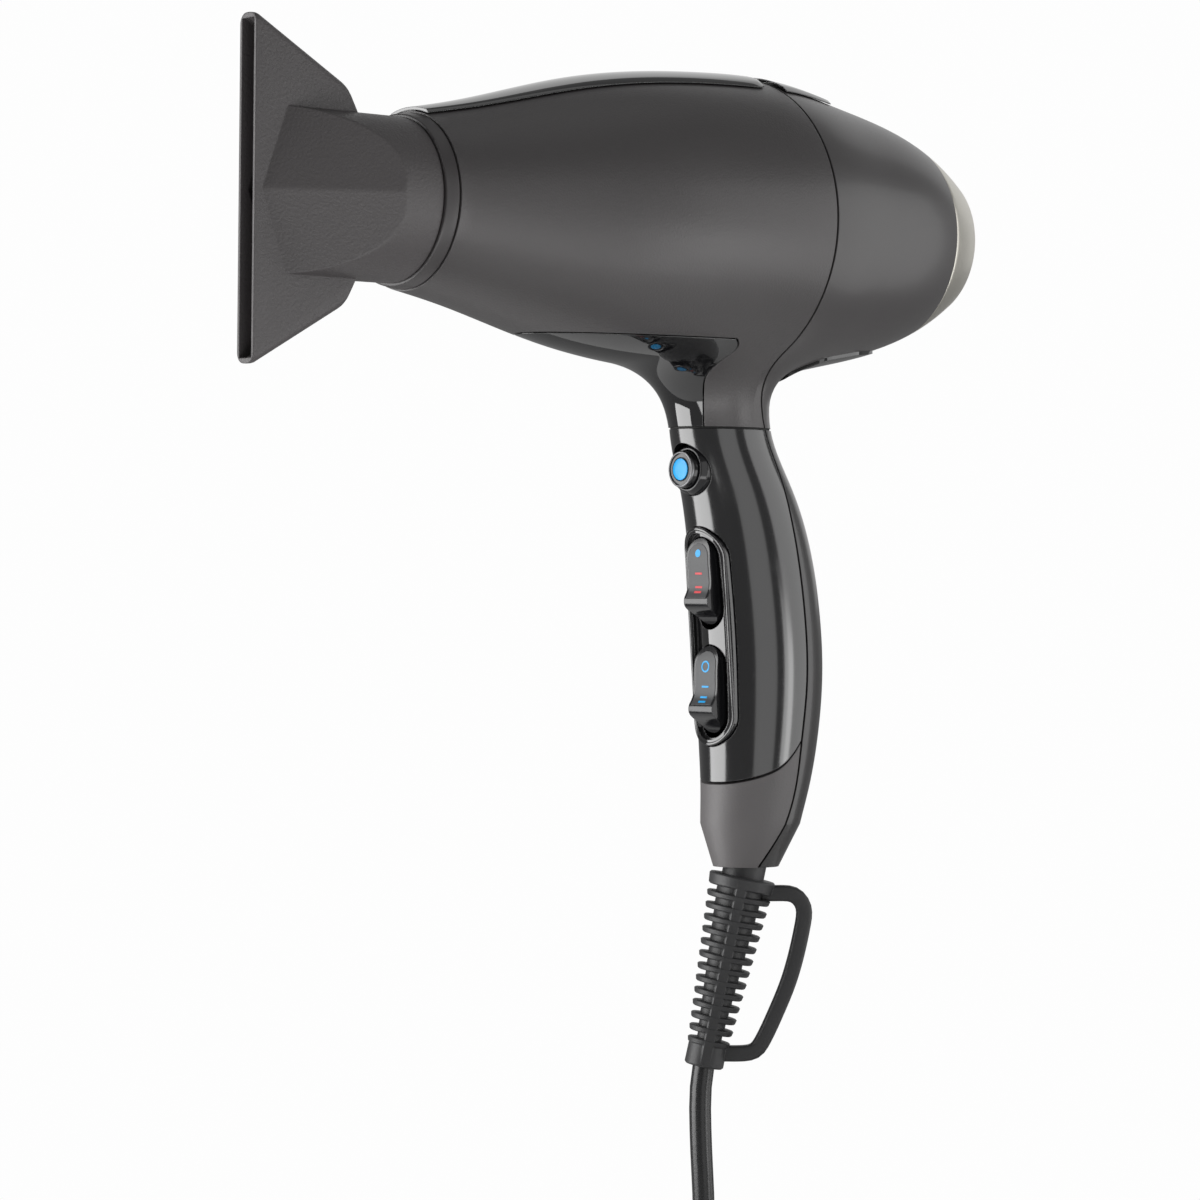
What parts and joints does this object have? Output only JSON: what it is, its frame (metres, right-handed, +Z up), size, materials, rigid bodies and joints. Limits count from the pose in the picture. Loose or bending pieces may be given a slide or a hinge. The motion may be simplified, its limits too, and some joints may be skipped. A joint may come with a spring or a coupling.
{
  "type": "hair dryer",
  "caption": "Hand-held hair dryer with a round tapered barrel, a flat air-concentrator nozzle, a curved grip with two rocker switches and a cool-shot button, and a coiled mains cord.",
  "frame": {"origin": "the middle of the grip, on the handle's own axis and in the left-right middle plane; the place a hand holds", "axes": "+Z up along the handle towards the barrel, barrel along X with the air leaving towards -X and drawn in from +X, +Y to the left of a user who looks along -X"},
  "size_m": [0.2778, 0.1637, 0.3923],
  "materials": {
    "blue_dot": "gloss",
    "brass": "satin",
    "champagne_ring": "satin",
    "gloss_housing": "gloss",
    "heater_wire": "oxidised",
    "inner_plastic": "matte",
    "matte_plastic": "matte",
    "mesh_steel": "satin",
    "mica": "matte",
    "rubber": "semi-matte",
    "satin_housing": "satin",
    "steel": "satin",
    "wire_sleeve": "semi-gloss"
  },
  "bodies": {
    "dryer": {"belly_panel": "gloss_housing", "cool_shot_collar": "inner_plastic", "cool_shot_spring": "steel", "cool_shot_switch": "inner_plastic", "cord_clamp": "inner_plastic", "cord_coil": "rubber", "cord_guard": "rubber", "cord_lead": "rubber", "cord_tail": "rubber", "cord_tie": "rubber", "fan_duct": "inner_plastic", "front_bezel": "gloss_housing", "front_housing": "satin_housing", "handle_base": "matte_plastic", "handle_front_cover": "gloss_housing", "handle_rear_shell": "satin_housing", "handle_screw_lower": "steel", "handle_screw_upper": "steel", "heat_switch_block": "inner_plastic", "heater_coil_front": "heater_wire", "heater_coil_rear": "heater_wire", "heater_frame": "mica", "heater_tube": "mica", "heater_wires": "wire_sleeve", "mains_wires": "wire_sleeve", "motor_can": "steel", "motor_end_cap": "inner_plastic", "motor_wires": "wire_sleeve", "outlet_grille": "inner_plastic", "plug_body": "rubber", "plug_guard": "rubber", "plug_pin_left": "brass", "plug_pin_right": "brass", "rear_belly_panel": "gloss_housing", "rear_housing": "satin_housing", "rear_top_trim": "gloss_housing", "speed_switch_block": "inner_plastic", "switch_bezel": "gloss_housing", "thermal_fuse": "steel", "thermostat": "steel", "top_trim": "gloss_housing"},
    "nozzle": {"nozzle": "matte_plastic"},
    "heat_rocker": {"heat_rocker": "matte_plastic"},
    "speed_rocker": {"speed_rocker": "matte_plastic"},
    "cool_shot_button": {"cool_shot_button": "matte_plastic", "cool_shot_dot": "blue_dot"},
    "rotor": {"fan": "inner_plastic", "motor_shaft": "steel"},
    "intake_filter": {"rear_ring": "champagne_ring", "filter_grille": "matte_plastic", "filter_mesh": "mesh_steel"}
  },
  "joints": [
    {"name": "nozzle_turn", "type": "hinge", "parent": "dryer", "child": "nozzle", "pos_m": [-0.13585, 0, 0.1247], "axis": [1, 0, 0], "continuous": true},
    {"name": "heat_rocker_tilt", "type": "hinge", "parent": "dryer", "child": "heat_rocker", "pos_m": [-0.01162, 0, 0.02025], "axis": [0, -1, 0], "range_deg": [0, 12]},
    {"name": "speed_rocker_tilt", "type": "hinge", "parent": "dryer", "child": "speed_rocker", "pos_m": [-0.00876, 0, -0.01253], "axis": [0, -1, 0], "range_deg": [0, 12]},
    {"name": "cool_shot_press", "type": "slide", "parent": "dryer", "child": "cool_shot_button", "axis": [1, 0, 0], "range_m": [0, 0.0015], "stiffness_N_per_m": 400, "springref_m": -0.002, "deforming": ["cool_shot_spring"]},
    {"name": "fan_spin", "type": "hinge", "parent": "dryer", "child": "rotor", "pos_m": [0.017, 0, 0.1247], "axis": [1, 0, 0], "continuous": true},
    {"name": "filter_pull", "type": "slide", "parent": "dryer", "child": "intake_filter", "axis": [1, 0, 0], "range_m": [0, 0.03]}
  ]
}
